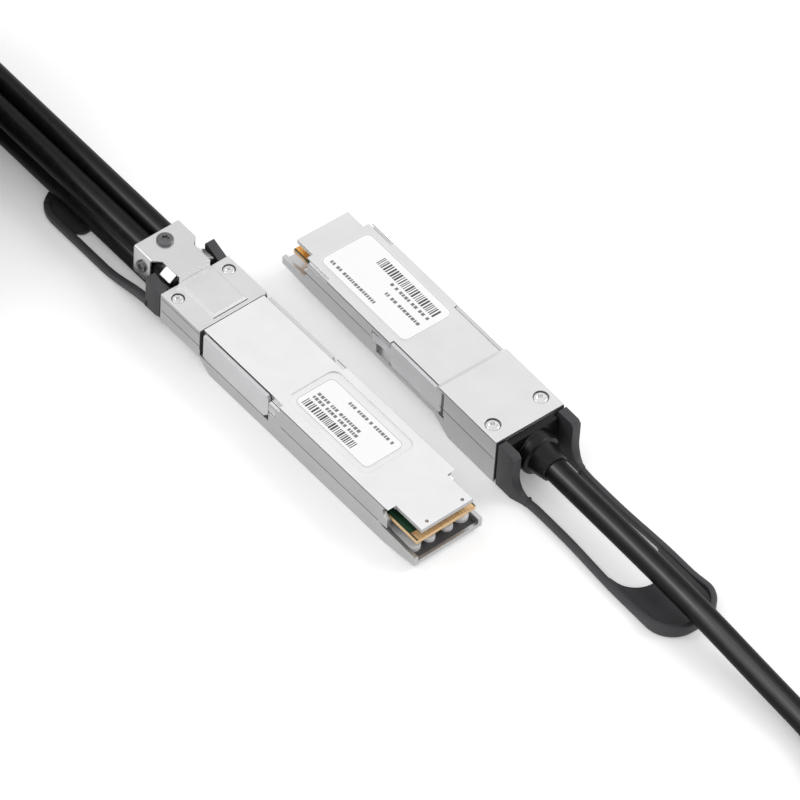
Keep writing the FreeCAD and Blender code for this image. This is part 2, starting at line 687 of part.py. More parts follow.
def leg_pull_tab():
    z0, z1 = floor_gap, floor_gap + bar_h
    outer = leg_tab_plan(0.0, -9.0)
    inner = leg_tab_plan(l_tab_arm, -8.0)
    outer.translate(Vec(0, 0, z0))
    hole = inner.extrude(Vec(0, 0, 10))
    rim = less(outer.extrude(Vec(0, 0, bar_h)), hole)
    high = less(outer.extrude(Vec(0, 0, l_rim_z - z0)), hole, box(l_rim_x, 5, -20, 20, -1, 10))
    web = outer.extrude(Vec(0, 0, web_t)).common(box(l_tab_end - 1, l_tab_hole[1], -20, 20, 0, 3))
    # rounded edge of the web at the finger gap
    web = less(web, disc(l_tab_hole[1] + 2.6, 0, 0, 3, 13.0, 28))
    parts = [rim, high, web]
    for s in (-1, 1):
        x0 = l_ear_x
        pts = [Vec(-arm_gap - 0.5, 0, z0), Vec(-arm_gap - 0.5, 0, l_h - 0.1),
               Vec(x0 + 0.8, 0, l_h - 0.1), Vec(x0, 0, l_h - 0.9), Vec(x0, 0, 6.0)]
        edges = [Part.LineSegment(a, b).toShape() for a, b in zip(pts, pts[1:])]
        foot = Vec(-10.5, 0, z1)
        hollow = [pts[-1], Vec(x0 - 0.4, 0, 4.4), Vec(x0 - 1.3, 0, 3.0), Vec(x0 - 2.7, 0, 2.2), foot]
        edges += [Part.LineSegment(a, b).toShape() for a, b in zip(hollow, hollow[1:])]
        edges.append(Part.LineSegment(foot, Vec(-10.5, 0, z0)).toShape())
        edges.append(Part.LineSegment(Vec(-10.5, 0, z0), pts[0]).toShape())
        ear = Part.Face(Part.Wire(edges)).extrude(Vec(0, l_ear_t, 0))
        ear.translate(Vec(0, half - l_ear_t if s > 0 else -half, 0))
        trim = plan_profile([(-11, s * (half + 1)), (-5.8, s * (half + 1)), (-5.8, s * half),
                             (-8.6, s * (l_tab_neck + 0.35)), (-11, s * l_tab_neck)], -1, 14)
        parts.append(less(ear, trim))
    tab = join(*parts)
    for s in (-1, 1):
        tab = less(tab, box(l_ear_x + 1.0, 1, s * arm_y[0], s * arm_y[1], *l_arm_z))
    return tab


def with_bridge_way(shape):
    """Room for the slider's bridge and its travel through the rear block."""
    return less(shape, box(9.0 - l_travel_gap - 0.2, 14.2, -arm_y[1] - slide_gap,
                           arm_y[1] + slide_gap, l_arm_z[1] - 0.8, l_arm_z[1] + slide_gap))


# Build
host_place = FreeCAD.Placement(Vec(0, 0, 0), FreeCAD.Rotation(Vec(0, 0, 1), -45))
host_place = host_place.multiply(FreeCAD.Placement(Vec(-h_origin, 0, 0), FreeCAD.Rotation()))
for name, maker in (
    ("host_lower_shell", host_lower_shell), ("host_cover", host_cover),
    ("host_rear_cap", host_rear_cap), ("host_cap_screws", host_cap_screws),
    ("host_card", host_card), ("host_slider", host_slider), ("host_pull_tab", host_pull_tab),
    ("host_cable_clamp", host_cable_clamp), ("host_clamp_screws", host_clamp_screws),
    ("host_label", host_label),
):
    export(maker(), name, host_place)

leg_shapes = {
    "lower_shell": leg_lower_shell(), "cover": with_bridge_way(leg_cover()),
    "screws": leg_screws(), "card": leg_card(), "label": leg_label(), "boot": leg_boot(),
    "slider": leg_slider(), "pull_tab": leg_pull_tab(),
}
for k, (x, y, turn) in leg_at.items():
    for part_name, shape in leg_shapes.items():
        export(shape, "leg%d_%s" % (k, part_name), set_down(x, y, turn))

for k, (side, z, x0, x1) in leads.items():
    tube = rod(x1, x0, side, z, cable_d, 12)
    export(tube, "leg%d_lead" % k, host_place)
for k, points in tails.items():
    export(cord_tube(points, cable_d, "leg%d_tail" % k), "leg%d_tail" % k)
coil = less(disc(*coil_at, 0, coil_h, 2 * coil_r[1], coil_sides[1]),
            disc(*coil_at, -1, coil_h + 1, 2 * coil_r[0], coil_sides[0]))
export(coil, "cable_coil")
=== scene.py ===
"""Direct attach copper breakout cable on a white table: finishes, cords and small fittings."""

import json
import math

import bmesh
import bpy
from mathutils import Matrix, Vector

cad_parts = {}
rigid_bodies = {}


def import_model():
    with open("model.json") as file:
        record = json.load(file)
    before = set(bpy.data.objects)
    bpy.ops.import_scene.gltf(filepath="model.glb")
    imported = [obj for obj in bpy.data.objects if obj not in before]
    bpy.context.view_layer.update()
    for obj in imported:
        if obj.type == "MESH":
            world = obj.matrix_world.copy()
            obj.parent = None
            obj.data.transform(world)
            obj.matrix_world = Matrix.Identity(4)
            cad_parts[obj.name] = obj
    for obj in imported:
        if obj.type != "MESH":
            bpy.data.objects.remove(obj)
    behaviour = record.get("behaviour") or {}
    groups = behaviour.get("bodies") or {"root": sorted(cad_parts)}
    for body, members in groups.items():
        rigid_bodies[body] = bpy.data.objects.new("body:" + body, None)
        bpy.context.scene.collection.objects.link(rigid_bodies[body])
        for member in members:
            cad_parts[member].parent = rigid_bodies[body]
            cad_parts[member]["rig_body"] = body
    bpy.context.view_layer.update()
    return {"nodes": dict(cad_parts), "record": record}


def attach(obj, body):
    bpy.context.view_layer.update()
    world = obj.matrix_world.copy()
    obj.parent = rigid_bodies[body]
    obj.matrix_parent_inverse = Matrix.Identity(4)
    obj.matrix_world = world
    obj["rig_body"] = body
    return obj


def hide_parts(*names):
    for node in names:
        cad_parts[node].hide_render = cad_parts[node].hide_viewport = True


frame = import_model()
MM = 0.001
MICRON = 0.000001

# Where the plugs lie, as in the part's source (mm, degrees): each drawn along its own x, from its rear face
HOST_TURN = -45
HOST_ORIGIN = 45  # distance from the host plug's rear face to the part's origin
HOST = Matrix.Rotation(math.radians(HOST_TURN), 4, "Z") @ Matrix.Translation((-HOST_ORIGIN * MM, 0, 0))
LEG_AT = {
    1: (42.8, -2.1, 133.7),
    2: (-120.0, -49.0, -90.0),
    3: (-144.0, -49.0, -90.0),
    4: (-168.5, -49.0, -90.0),
}


def leg_frame(k):
    """Where leg plug k lies, as HOST is for the host plug."""
    x, y, turn = LEG_AT[k]
    return Matrix.Translation((x * MM, y * MM, 0)) @ Matrix.Rotation(math.radians(turn), 4, "Z")


# Finishes
class Tone:
    """One value in a finish: plain arithmetic on it adds the Math nodes."""

    def __init__(self, tree, socket):
        self.tree, self.socket = tree, socket

    def math(self, operation, a, b=0.0, clamp=False):
        node = self.tree.nodes.new("ShaderNodeMath")
        node.operation, node.use_clamp = operation, clamp
        for spot, value in zip(node.inputs, (a, b)):
            plug_in(self.tree, spot, value)
        return Tone(self.tree, node.outputs[0])

    def __add__(self, other):
        return self.math("ADD", self, other)

    __radd__ = __add__

    def __sub__(self, other):
        return self.math("SUBTRACT", self, other)

    def __rsub__(self, other):
        return self.math("SUBTRACT", other, self)

    def __mul__(self, other):
        return self.math("MULTIPLY", self, other)

    __rmul__ = __mul__

    def __gt__(self, other):
        return self.math("GREATER_THAN", self, other)

    def __abs__(self):
        return self.math("ABSOLUTE", self)

    def held(self):
        """The value kept between 0 and 1."""
        return self.math("ADD", self, 0.0, clamp=True)


def plug_in(tree, spot, value):
    if isinstance(value, Tone):
        tree.links.new(value.socket, spot)
    elif isinstance(value, tuple) and len(value) == 3 and spot.type == "RGBA":
        spot.default_value = (*value, 1.0)
    else:
        spot.default_value = value


class Finish:
    """A material under construction."""

    def __init__(self, name):
        self.material = bpy.data.materials.new(name)
        self.material.use_nodes = True
        self.tree = self.material.node_tree
        self.tree.nodes.clear()

    def make(self, kind, settings=None, out=0, **fed):
        """Adds a node, set up first and then fed. An input goes by its name, or by its number as i0."""
        node = self.tree.nodes.new("ShaderNode" + kind)
        for key, value in (settings or {}).items():
            setattr(node, key, value)
        for key, value in fed.items():
            numbered = key[0] == "i" and key[1:].isdigit()
            plug_in(self.tree, node.inputs[int(key[1:]) if numbered else key], value)
        return Tone(self.tree, node.outputs[out])

    def spots(self, turn=0.0, stretch=(1.0, 1.0, 1.0)):
        """Coordinates on the part, turned into a plug's own direction and stretched along its grain."""
        place = self.make("TexCoord", out=3)
        turned = self.make("Mapping", Vector=place, Rotation=(0.0, 0.0, -math.radians(turn)))
        return self.make("Mapping", Vector=turned, Scale=stretch)

    def grain(self, where, scale, detail=3.0, roughness=0.55):
        return self.make("TexNoise", Vector=where, Scale=scale, Detail=detail, Roughness=roughness)

    def blend(self, factor, a, b):
        return self.make("Mix", {"data_type": "RGBA"}, out=2, i0=factor, i6=a, i7=b)

    def flat(self):
        """1 on faces that look up or down, and 0 on upright ones."""
        return abs(self.make("SeparateXYZ", out=2, Vector=self.make("TexCoord", out=1))) > 0.5

    def finish(self, colour, rough, relief=None, depth=0.0, edge=0.0, **fixed):
        """Ends the material. depth is the relief's, and edge the radius of the softened edges, in metres."""
        normal = {"Normal": self.make("Bevel", {"samples": 4}, Radius=edge)} if edge else {}
        if relief is not None:
            normal = {"Normal": self.make("Bump", Height=relief, Strength=1.0, Distance=depth, **normal)}
        fixed.update(normal)
        shader = self.tree.nodes.new("ShaderNodeBsdfPrincipled")
        for key, value in {"Base Color": colour, "Roughness": rough, **fixed}.items():
            plug_in(self.tree, shader.inputs[key], value)
        end = self.tree.nodes.new("ShaderNodeOutputMaterial")
        self.tree.links.new(shader.outputs[0], end.inputs[0])
        return self.material


def plated_metal_shaded_sides(name, top, side):
    """Satin nickel on a die casting: mottled, with very fine orange peel, soft edges and painted shade
    darkening its sides.
    """
    f = Finish(name)
    where = f.spots()
    mottle = f.grain(where, 140.0, 4.0)
    fine = f.grain(where, 2600.0, 2.0)
    # top is the tone of faces that look up, side the darker tone of upright faces: painted shade
    level = f.flat()
    pale = f.blend(level, side, top)
    dull = f.blend(level, tuple(c * 0.9 for c in side), tuple(c * 0.93 for c in top))
    colour = f.blend((mottle * 1.6 - 0.3).held(), dull, pale)
    rough = 0.34 + (mottle - 0.5) * 0.12 + (fine - 0.5) * 0.05
    return f.finish(colour, rough, fine, 6 * MICRON, edge=0.22 * MM, Metallic=0.85)


def brushed_sheet(name, turn, pale, dull, metal, rough, brush=0.4):
    """Rolled sheet steel with its grain along the plug; brush is how strongly the grain shows."""
    f = Finish(name)
    lines = f.grain(f.spots(turn, (90.0, 5200.0, 5200.0)), 1.0, 4.0, 0.6)
    cloud = f.grain(f.spots(), 180.0, 3.0)
    colour = f.blend((lines * brush + cloud * 0.8 - 0.1).held(), dull, pale)
    rough = rough + (lines - 0.5) * brush * 0.35
    return f.finish(colour, rough, lines, 2 * MICRON * brush, edge=0.3 * MM, Metallic=metal)


def moulded(name, colour, worn, rough, scale=2200.0, depth=10 * MICRON, **fixed):
    """A fine even texture under broad soft wear, for mouldings, print and small metal."""
    f = Finish(name)
    where = f.spots()
    fine = f.grain(where, scale, 3.0)
    broad = f.grain(where, 90.0, 3.0)
    shade = f.blend((broad * 1.8 - 0.4).held(), colour, worn)
    rough = rough + (broad - 0.5) * 0.15 + (fine - 0.5) * 0.1
    return f.finish(shade, rough, fine, depth, **fixed)


def circuit_board(name, turn):
    """Green solder mask over faint copper tracks, with pale sawn edges."""
    f = Finish(name)
    where = f.spots(turn)
    tracks = f.make("TexWave", {"wave_type": "BANDS", "bands_direction": "Y"}, Vector=where, Scale=195.0,
                    Distortion=0.8, Detail=1.0)
    weave = f.grain(where, 900.0, 2.0)
    mask = f.blend((tracks - 0.45) * 1.5, (0.012, 0.045, 0.022), (0.025, 0.085, 0.045))
    sawn = f.blend((weave * 1.4 - 0.2).held(), (0.70, 0.44, 0.19), (0.86, 0.58, 0.29))
    colour = f.blend(f.flat(), sawn, mask)
    return f.finish(colour, 0.38 + (weave - 0.5) * 0.2, tracks, 12 * MICRON)


def gold_contact(name, colour, deep, metal):
    """Gold plate, rubbed darker in places."""
    f = Finish(name)
    rub = f.grain(f.spots(), 700.0, 3.0)
    gold = f.blend((rub * 1.8 - 0.4).held(), deep, colour)
    return f.finish(gold, 0.26 + (rub - 0.5) * 0.2, rub, 3 * MICRON, Metallic=metal)


def label_film(name):
    """White matt film with a trace of fibre."""
    f = Finish(name)
    fibre = f.grain(f.spots(), 1500.0, 3.0)
    colour = f.blend((fibre * 1.6 - 0.3).held(), (0.92, 0.92, 0.92), (0.96, 0.96, 0.96))
    return f.finish(colour, 0.5 + (fibre - 0.5) * 0.1, fibre, 3 * MICRON)


def cable_jacket(name):
    """Extruded jacket: near-black with a little dust, and a soft gloss where it is seen face on."""
    f = Finish(name)
    where = f.spots()
    dust = f.grain(where, 420.0, 4.0, 0.65)
    fine = f.grain(where, 2600.0, 2.0)
    facing = 1.0 - f.make("LayerWeight", out=1, Blend=0.5)
    black = f.blend((dust * 2.2 - 0.85).held(), (0.004, 0.004, 0.0043), (0.009, 0.009, 0.0095))
    gloss = facing.math("POWER", facing, 14.0) * (dust * 1.4 + 3.6)
    skin = {"Specular IOR Level": 0.1, "Coat Weight": gloss.held(), "Coat Roughness": 0.3, "Coat IOR": 1.7}
    return f.finish(black, 0.42 + (dust - 0.5) * 0.18, fine, 6 * MICRON, **skin)


# each plating: a tone for tops, then a darker tone for upright sides that is painted shade
NICKEL = plated_metal_shaded_sides("nickel cover", (0.87, 0.87, 0.875), (0.50, 0.50, 0.505))
NICKEL_LEG = plated_metal_shaded_sides("nickel leg cover", (0.78, 0.78, 0.785), (0.56, 0.56, 0.565))
NICKEL_CAP = plated_metal_shaded_sides("nickel rear cap", (0.72, 0.72, 0.725), (0.50, 0.50, 0.505))
NICKEL_DEEP = plated_metal_shaded_sides("nickel lower shell", (0.62, 0.62, 0.625), (0.53, 0.53, 0.535))
BLACK_TAB = moulded("black tab plastic", (0.026, 0.026, 0.029), (0.042, 0.042, 0.046), 0.52)
BOOT_RUBBER = moulded("boot rubber", (0.004, 0.004, 0.0045), (0.009, 0.009, 0.0095), 0.3, 1600.0, 5 * MICRON,
                      **{"Specular IOR Level": 0.25})
JACKET = cable_jacket("cable jacket")
FILM = label_film("label film")
PRINT = moulded("label print", (0.045, 0.045, 0.05), (0.08, 0.08, 0.085), 0.6, 3000.0, 2 * MICRON)
PRINT_SMALL = moulded("small print", (0.16, 0.16, 0.17), (0.24, 0.24, 0.25), 0.6, 3000.0, 2 * MICRON)
PRINT_GREY = moulded("label outline", (0.38, 0.38, 0.39), (0.48, 0.48, 0.49), 0.6, 3000.0, 2 * MICRON)
SCREW_DARK = moulded("dark screw", (0.11, 0.11, 0.115), (0.18, 0.18, 0.185), 0.33, 900.0, 6 * MICRON,
                     Metallic=0.8)
SCREW_BRIGHT = moulded("bright screw", (0.62, 0.62, 0.63), (0.82, 0.82, 0.83), 0.2, 900.0, 3 * MICRON,
                       Metallic=0.9)
# painted shade: a dark film laid on the nose floor where shade falls
SHADE = moulded("nose floor shade", (0.040, 0.040, 0.043), (0.07, 0.07, 0.075), 0.5, 1200.0)
# painted shadow: dark lines on seams and steps, and dark strips in gaps where shade falls
SEAM_SHADOW = moulded("seam shadow", (0.012, 0.012, 0.013), (0.03, 0.03, 0.032), 0.7, 1200.0)
PAD = moulded("nose pad", (0.60, 0.60, 0.605), (0.74, 0.74, 0.745), 0.35, 1200.0, 4 * MICRON)
BED = moulded("contact bed", (0.50, 0.24, 0.10), (0.60, 0.32, 0.14), 0.5, 1500.0, 3 * MICRON)
GOLD_PALE = gold_contact("host gold", (0.95, 0.68, 0.38), (0.84, 0.54, 0.26), 0.4)
GOLD_DEEP = gold_contact("leg gold", (0.93, 0.50, 0.12), (0.80, 0.36, 0.07), 0.85)
SLIDER_STEEL = {"pale": (0.70, 0.70, 0.71), "dull": (0.58, 0.58, 0.59), "metal": 0.55, "rough": 0.34}
CLAMP_STEEL = {"pale": (0.70, 0.70, 0.705), "dull": (0.63, 0.63, 0.635), "metal": 0.9, "rough": 0.26,
               "brush": 0.12}


# Making pieces
def add_piece(name, mesh_or_curve, finish, body, slot, stands_for=()):
    """Puts a finished mesh or curve on a body, in place of the solids that it stands for; slot is not used.
    """
    piece = bpy.data.objects.new(name, mesh_or_curve)
    bpy.context.scene.collection.objects.link(piece)
    piece.data.materials.clear()
    piece.data.materials.append(finish)
    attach(piece, body)
    if stands_for:
        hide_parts(*stands_for)
    return piece


def mesh_piece(name, bm, plug, finish, body, slot, stands_for=(), smooth=None):
    """Turns a bmesh drawn in a plug's own millimetres into a piece; smooth is the sharpest smoothed edge."""
    bm.transform(plug @ Matrix.Scale(MM, 4))
    bmesh.ops.recalc_face_normals(bm, faces=bm.faces)
    mesh = bpy.data.meshes.new(name)
    bm.to_mesh(mesh)
    bm.free()
    if smooth is not None:
        mesh.shade_smooth()
        mesh.set_sharp_from_angle(angle=math.radians(smooth))
    return add_piece(name, mesh, finish, body, slot, stands_for)


def add_block(bm, x0, x1, y0, y1, z0, z1):
    """Adds a box that shares a mesh with others, such as one of a row of marks, and returns its corners."""
    made = bmesh.ops.create_cube(bm, size=1.0)["verts"]
    for v in made:
        v.co = Vector((x1 if v.co.x > 0 else x0, y1 if v.co.y > 0 else y0, z1 if v.co.z > 0 else z0))
    return made


def add_rings(bm, rings):
    """Skins a row of rings, each a list of points, into one closed form."""
    rows = [[bm.verts.new(p) for p in ring] for ring in rings]
    n = len(rows[0])
    for a, b in zip(rows, rows[1:]):
        for i in range(n):
            bm.faces.new((a[i], a[(i + 1) % n], b[(i + 1) % n], b[i]))
    bm.faces.new(list(reversed(rows[0])))
    bm.faces.new(rows[-1])


def round_rect(x0, x1, y0, y1, r, steps=6):
    """The points of a rectangle with round corners, in order."""
    corners = ((x1 - r, y1 - r, 0), (x0 + r, y1 - r, 90), (x0 + r, y0 + r, 180), (x1 - r, y0 + r, 270))
    pts = []
    for cx, cy, a in corners:
        for i in range(steps + 1):
            t = math.radians(a + 90 * i / steps)
            pts.append((cx + r * math.cos(t), cy + r * math.sin(t)))
    return pts


SAME_POINT = 2 * MICRON
FLAT_ANGLE, SHARP_ANGLE = math.radians(1.5), math.radians(35)


def softened(node, finish, width):
    """A copy of a solid with real rounded edges, for moulded pieces."""
    source = frame["nodes"][node]
    bm = bmesh.new()
    bm.from_mesh(source.data)
    bmesh.ops.remove_doubles(bm, verts=bm.verts, dist=SAME_POINT)
    bmesh.ops.dissolve_limit(bm, angle_limit=FLAT_ANGLE, verts=bm.verts, edges=bm.edges)
    mesh = bpy.data.meshes.new(node + "_soft")
    bm.to_mesh(mesh)
    bm.free()
    mesh.shade_smooth()
    slot = next(s["material_slot"] for s in frame["record"]["subparts"] if s["node"] == node)
    piece = add_piece(node + "_soft", mesh, finish, source["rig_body"], slot, (node,))
    edge = piece.modifiers.new("rounded edges", "BEVEL")
    edge.width = width * MM
    edge.segments = 3
    edge.limit_method = "ANGLE"
    edge.angle_limit = SHARP_ANGLE
    edge.use_clamp_overlap = True
    edge.harden_normals = True
    return piece


def local_box(node, plug):
    """A solid's low and high corner in its plug's own millimetres."""
    to_plug = plug.inverted()
    points = [to_plug @ v.co / MM for v in frame["nodes"][node].data.vertices]
    return [Vector([pick(p[i] for p in points) for i in range(3)]) for pick in (min, max)]


def coat(node, finish):
    """Gives a carried-over solid its finish."""
    data = frame["nodes"][node].data
    data.materials.clear()
    data.materials.append(finish)


# Cords: one 2 m leg each, host plug to leg plug, coiled outside the view
CABLE_D = 5.5
COIL_AT = (-128.5, 64.44)
FLOOR_Z = 2.85  # height of a cable that lies on the table
LEG_EXIT_Z = 6.25  # height of a cable where it leaves a leg plug
# where each cable leaves the host plug: y, z and x, and two more x of the straight run that follows
LEAD = {1: (-2.8, 4.15, 0.0), 2: (-2.8, 9.65, -0.5), 3: (2.8, 4.15, 0.0), 4: (2.8, 9.65, -0.5)}
LEAD_RUN = (-38.0, -78.0)
# degrees: where the turns start, how long the crossing between layers takes, and from point to point
ENTRY, CROSS, STEP = 45, 150, 20
CROSS_DIP = 1.2  # how far the crossing dips towards the middle
CORNER_CUT = 0.66  # share of a corner's height by which a spline cuts inside it
# radius on the way in, degrees of climb, inner radius, radius on the way out, direction of the way out,
# whole turns, height of the first layer and of the second
WIND = {
    1: (42.5, 75, 23.0, 38.5, 250, 6, 8.45, FLOOR_Z),
    2: (42.5, 75, 19.8, 43.4, 225, 8, 14.0, 19.6),
    3: (48.1, 105, 22.0, 42.5, 210, 8, 30.8, 25.2),
    4: (48.1, 105, 22.0, 40.0, 180, 8, 42.0, 36.4),
}


def behind_leg_1(a, off, z):
    """A point that far behind leg plug 1's rear face and that far off its middle line."""
    x, y, turn = LEG_AT[1]
    c, s = math.cos(math.radians(turn)), math.sin(math.radians(turn))
    return (x - a * c - off * s, y - a * s + off * c, z)


# the rest of each cable's route, from the coil to its leg plug
TAIL = {
    1: [
        (-121.5, 20.9, FLOOR_Z), (-102.6, 14.0, FLOOR_Z), (-90.8, -3.0, FLOOR_Z),
        (-91.7, -50.0, FLOOR_Z), (-91.0, -93.3, FLOOR_Z), (-81.9, -109.1, FLOOR_Z),
        (-66.1, -118.2, FLOOR_Z), (-20.0, -117.6, FLOOR_Z), (26.0, -118.4, FLOOR_Z),
        (62.0, -118.0, FLOOR_Z), (93.8, -118.7, FLOOR_Z), (112.3, -100.6, FLOOR_Z),
        (112.7, -75.3, FLOOR_Z), behind_leg_1(76.0, 0.0, 4.2), behind_leg_1(57.5, 0.3, 6.3),
        behind_leg_1(34.0, 0.0, LEG_EXIT_Z), behind_leg_1(9.0, 0.0, LEG_EXIT_Z),
    ],
    2: [
        (-145.0, 20.9, 19.4), (-134.6, 10.5, 17.6), (-126.5, 1.0, 13.0), (-120.0, -14.5, 7.6),
        (-120.0, -28.5, LEG_EXIT_Z), (-120.0, -40.0, LEG_EXIT_Z),
    ],
    3: [
        (-156.5, 28.0, 25.2), (-148.1, 13.4, 22.5), (-144.0, -1.85, 15.0), (-144.0, -18.0, 8.2),
        (-144.0, -29.0, LEG_EXIT_Z), (-144.0, -40.0, LEG_EXIT_Z),
    ],
    4: [
        (-168.5, 46.0, 36.4), (-168.5, 31.0, 35.6), (-168.5, 14.0, 26.0), (-168.5, -8.0, 12.0),
        (-168.5, -24.0, LEG_EXIT_Z), (-168.5, -40.0, LEG_EXIT_Z),
    ],
}


def ease(f):
    """A soft step from 0 to 1, and level beyond."""
    f = min(1.0, max(0.0, f))
    return f * f * (3 - 2 * f)


def winding(k):
    """Points of one leg's turns: up from the lead, inward on one layer, across, and outward on the other."""
    outer, climb, inner, last, way_out, turns, first_z, second_z = WIND[k]
    start_z = LEAD[k][1]
    end = way_out + 360 * turns
    pitch = (outer + last - 2 * inner) * 360 / (end - ENTRY - CROSS)
    turn_in = ENTRY + (outer - inner) / pitch * 360
    steps = round((end - ENTRY) / STEP)
    # a spline cuts a little inside its points, so they stand that much further out
    spare = 1 + (1 / math.cos(math.radians(STEP / 2)) - 1) * CORNER_CUT
    pts = []
    for i in range(steps + 1):
        t = ENTRY + (end - ENTRY) * i / steps
        if t < turn_in:
            r = outer - pitch * (t - ENTRY) / 360
            z = start_z + (first_z - start_z) * ease((t - ENTRY) / climb)
        elif t < turn_in + CROSS:
            f = (t - turn_in) / CROSS
            r = inner - CROSS_DIP * math.sin(math.pi * f)
            z = first_z + (second_z - first_z) * ease(f)
        else:
            r = inner + pitch * (t - turn_in - CROSS) / 360
            z = second_z
        a = math.radians(t)
        pts.append((COIL_AT[0] + r * spare * math.cos(a), COIL_AT[1] + r * spare * math.sin(a), z))
    return pts


def leg_cord(k):
    """One leg's cable from the host plug to its own plug, and the point where it starts."""
    side, z, x0 = LEAD[k]
    straight = [HOST @ (Vector((x, side, z)) * MM) for x in (x0, *LEAD_RUN)]
    points = [tuple(p) for p in straight] + [tuple(c * MM for c in p) for p in winding(k) + TAIL[k]]
    curve = bpy.data.curves.new("leg%d_cord" % k, "CURVE")
    curve.dimensions = "3D"
    curve.bevel_depth = CABLE_D / 2 * MM
    curve.bevel_resolution = 6
    curve.resolution_u = 8
    curve.use_fill_caps = True
    line = curve.splines.new("NURBS")
    line.points.add(len(points) - 1)
    for spot, p in zip(line.points, points):
        spot.co = (*p, 1.0)
    line.order_u = 3
    line.use_endpoint_u = True
    stands_for = ["leg%d_lead" % k, "leg%d_tail" % k] + (["cable_coil"] if k == 1 else [])
    return add_piece("leg%d_cord" % k, curve, JACKET, "cable", "jacket", stands_for), points[0]


# Small fittings. Their places are in a plug's own millimetres: x from its rear face, y from its middle, z
# from its underside. A thin mark, such as print, stands INK proud of what carries it.
PLUG_HALF = 9.175
INK = 0.013
SCREW_FLATS = 48
LOBES, LOBE_DEPTH = 6, 0.14
HEAD_TURN = {"Z": 0, "Y+": -90, "Y-": 90}  # degrees about x, by the way a screw's head looks


def screw(name, plug, at, d, high, recess, finish, slot, stands_for=(), looks="Z"):
    """A pan head with a six-lobed recess; at is the centre of its seat."""
    def ring(r, z, lobes=0.0):
        out = []
        for i in range(SCREW_FLATS):
            t = 2 * math.pi * i / SCREW_FLATS
            q = r * (1 + lobes * math.cos(LOBES * t))
            out.append((q * math.cos(t), q * math.sin(t), z))
        return out

    bm = bmesh.new()
    r = d / 2
    edge = min(0.3, high * 0.35)
    rim, lip, floor = recess + 0.12, high - 0.08, high - 0.6 * high
    add_rings(bm, [
        ring(r, 0), ring(r, high - edge), ring(r - edge * 0.35, high - edge * 0.3), ring(r - edge, high),
        ring(rim, high), ring(recess, lip, LOBE_DEPTH), ring(recess, floor, LOBE_DEPTH),
    ])
    bm.transform(Matrix.Rotation(math.radians(HEAD_TURN[looks]), 4, "X"))
    bm.transform(Matrix.Translation(at))
    return mesh_piece(name, bm, plug, finish, "cable", slot, stands_for, 40)


PAD_PITCH, PAD_WIDE, PAD_HIGH = 0.8, 0.66, 0.035
SHORT_PAD = 0.5  # how much later the shorter two of every four pads start
BED_BEHIND, BED_AHEAD = 0.2, 0.06  # how far the bed shows past the pads
CARD_FRONT, CARD_SIDE = 0.02, 0.35  # how far the bed stays inside the card's edges


def contact_row(name, plug, x0, x1, half_row, z, finish, facing):
    """Gold contact pads in a row along a card's front edge, on a brown bed; facing is -1 on the underside."""
    low, high = z - INK * facing, z + PAD_HIGH * facing
    bm = bmesh.new()
    add_block(bm, x0 - BED_BEHIND, x1, -half_row, half_row, low, z + INK * facing)
    bed = mesh_piece(name + "_bed", bm, plug, BED, "cable", "board")
    count = int(2 * half_row / PAD_PITCH)
    bm = bmesh.new()
    for i in range(count):
        y = (i - (count - 1) / 2) * PAD_PITCH
        back = x0 if i % 4 in (1, 2) else x0 + SHORT_PAD
        add_block(bm, back, x1 - BED_AHEAD, y - PAD_WIDE / 2, y + PAD_WIDE / 2, low, high)
    return [bed, mesh_piece(name, bm, plug, finish, "cable", "board")]


def contacts(pre, plug, long, finish):
    """Contact pads on both faces of a plug's card."""
    low, high = local_box(pre + "card", plug)
    front, half_row = high.x - CARD_FRONT, (high.y - low.y) / 2 - CARD_SIDE
    return (contact_row(pre + "contacts", plug, front - long, front, half_row, high.z, finish, 1)
            + contact_row(pre + "contacts_under", plug, front - long, front, half_row, low.z, finish, -1))


OUTLINE_WIDE, OUTLINE_IN = 0.14, 0.15  # the printed outline's line, and how far inside the label's edge it is
BAR_WIDTHS, BAR_GAPS = (0.22, 0.34, 0.5, 0.22), (0.24, 0.38, 0.3)
DASH_LENGTHS, DASH_GAPS = (0.45, 0.7, 0.55, 0.8), (0.22, 0.26, 0.22, 0.75)
DASH_HALF, LAST_DASH = 0.4, 0.6  # half a dash's width, and the least room for one more


def label_outline(name, plug, x0, x1, y0, y1, r, z):
    """The thin grey line round a label."""
    line = OUTLINE_WIDE
    outer = round_rect(x0, x1, y0, y1, r)
    inner = round_rect(x0 + line, x1 - line, y0 + line, y1 - line, r - line)
    bm = bmesh.new()
    n = len(outer)
    loops = ((outer, z - INK), (outer, z + INK), (inner, z + INK), (inner, z - INK))
    rows = [[bm.verts.new((x, y, h)) for x, y in pts] for pts, h in loops]
    for a, b in zip(rows, rows[1:] + rows[:1]):
        for i in range(n):
            bm.faces.new((a[i], a[(i + 1) % n], b[(i + 1) % n], b[i]))
    return mesh_piece(name, bm, plug, PRINT_GREY, "cable", "label_film")


def plain_bars(name, plug, x0, x1, y0, y1, z, seed):
    """A band of plain printed bars of several widths, coding nothing."""
    bm = bmesh.new()
    x, k = x0, seed
    while x < x1 - max(BAR_WIDTHS):
        k = (k * 37 + 11) % 101
        wide = BAR_WIDTHS[k % 4]
        add_block(bm, x, x + wide, y0, y1, z - INK, z + INK)
        x += wide + BAR_GAPS[k % 3]
    return mesh_piece(name, bm, plug, PRINT, "cable", "label_film")


def plain_dashes(name, plug, rows, z, seed):
    """Rows of short printed dashes where a label carries its small print, spelling nothing."""
    bm = bmesh.new()
    k = seed
    for x0, x1, y in rows:
        x = x0
        while x < x1 - LAST_DASH:
            k = (k * 53 + 7) % 97
            long = min(DASH_LENGTHS[k % 4], x1 - x)
            add_block(bm, x, x + long, y - DASH_HALF, y + DASH_HALF, z - INK, z + INK)
            x += long + DASH_GAPS[k * 3 % 4]
    return mesh_piece(name, bm, plug, PRINT_SMALL, "cable", "label_film")


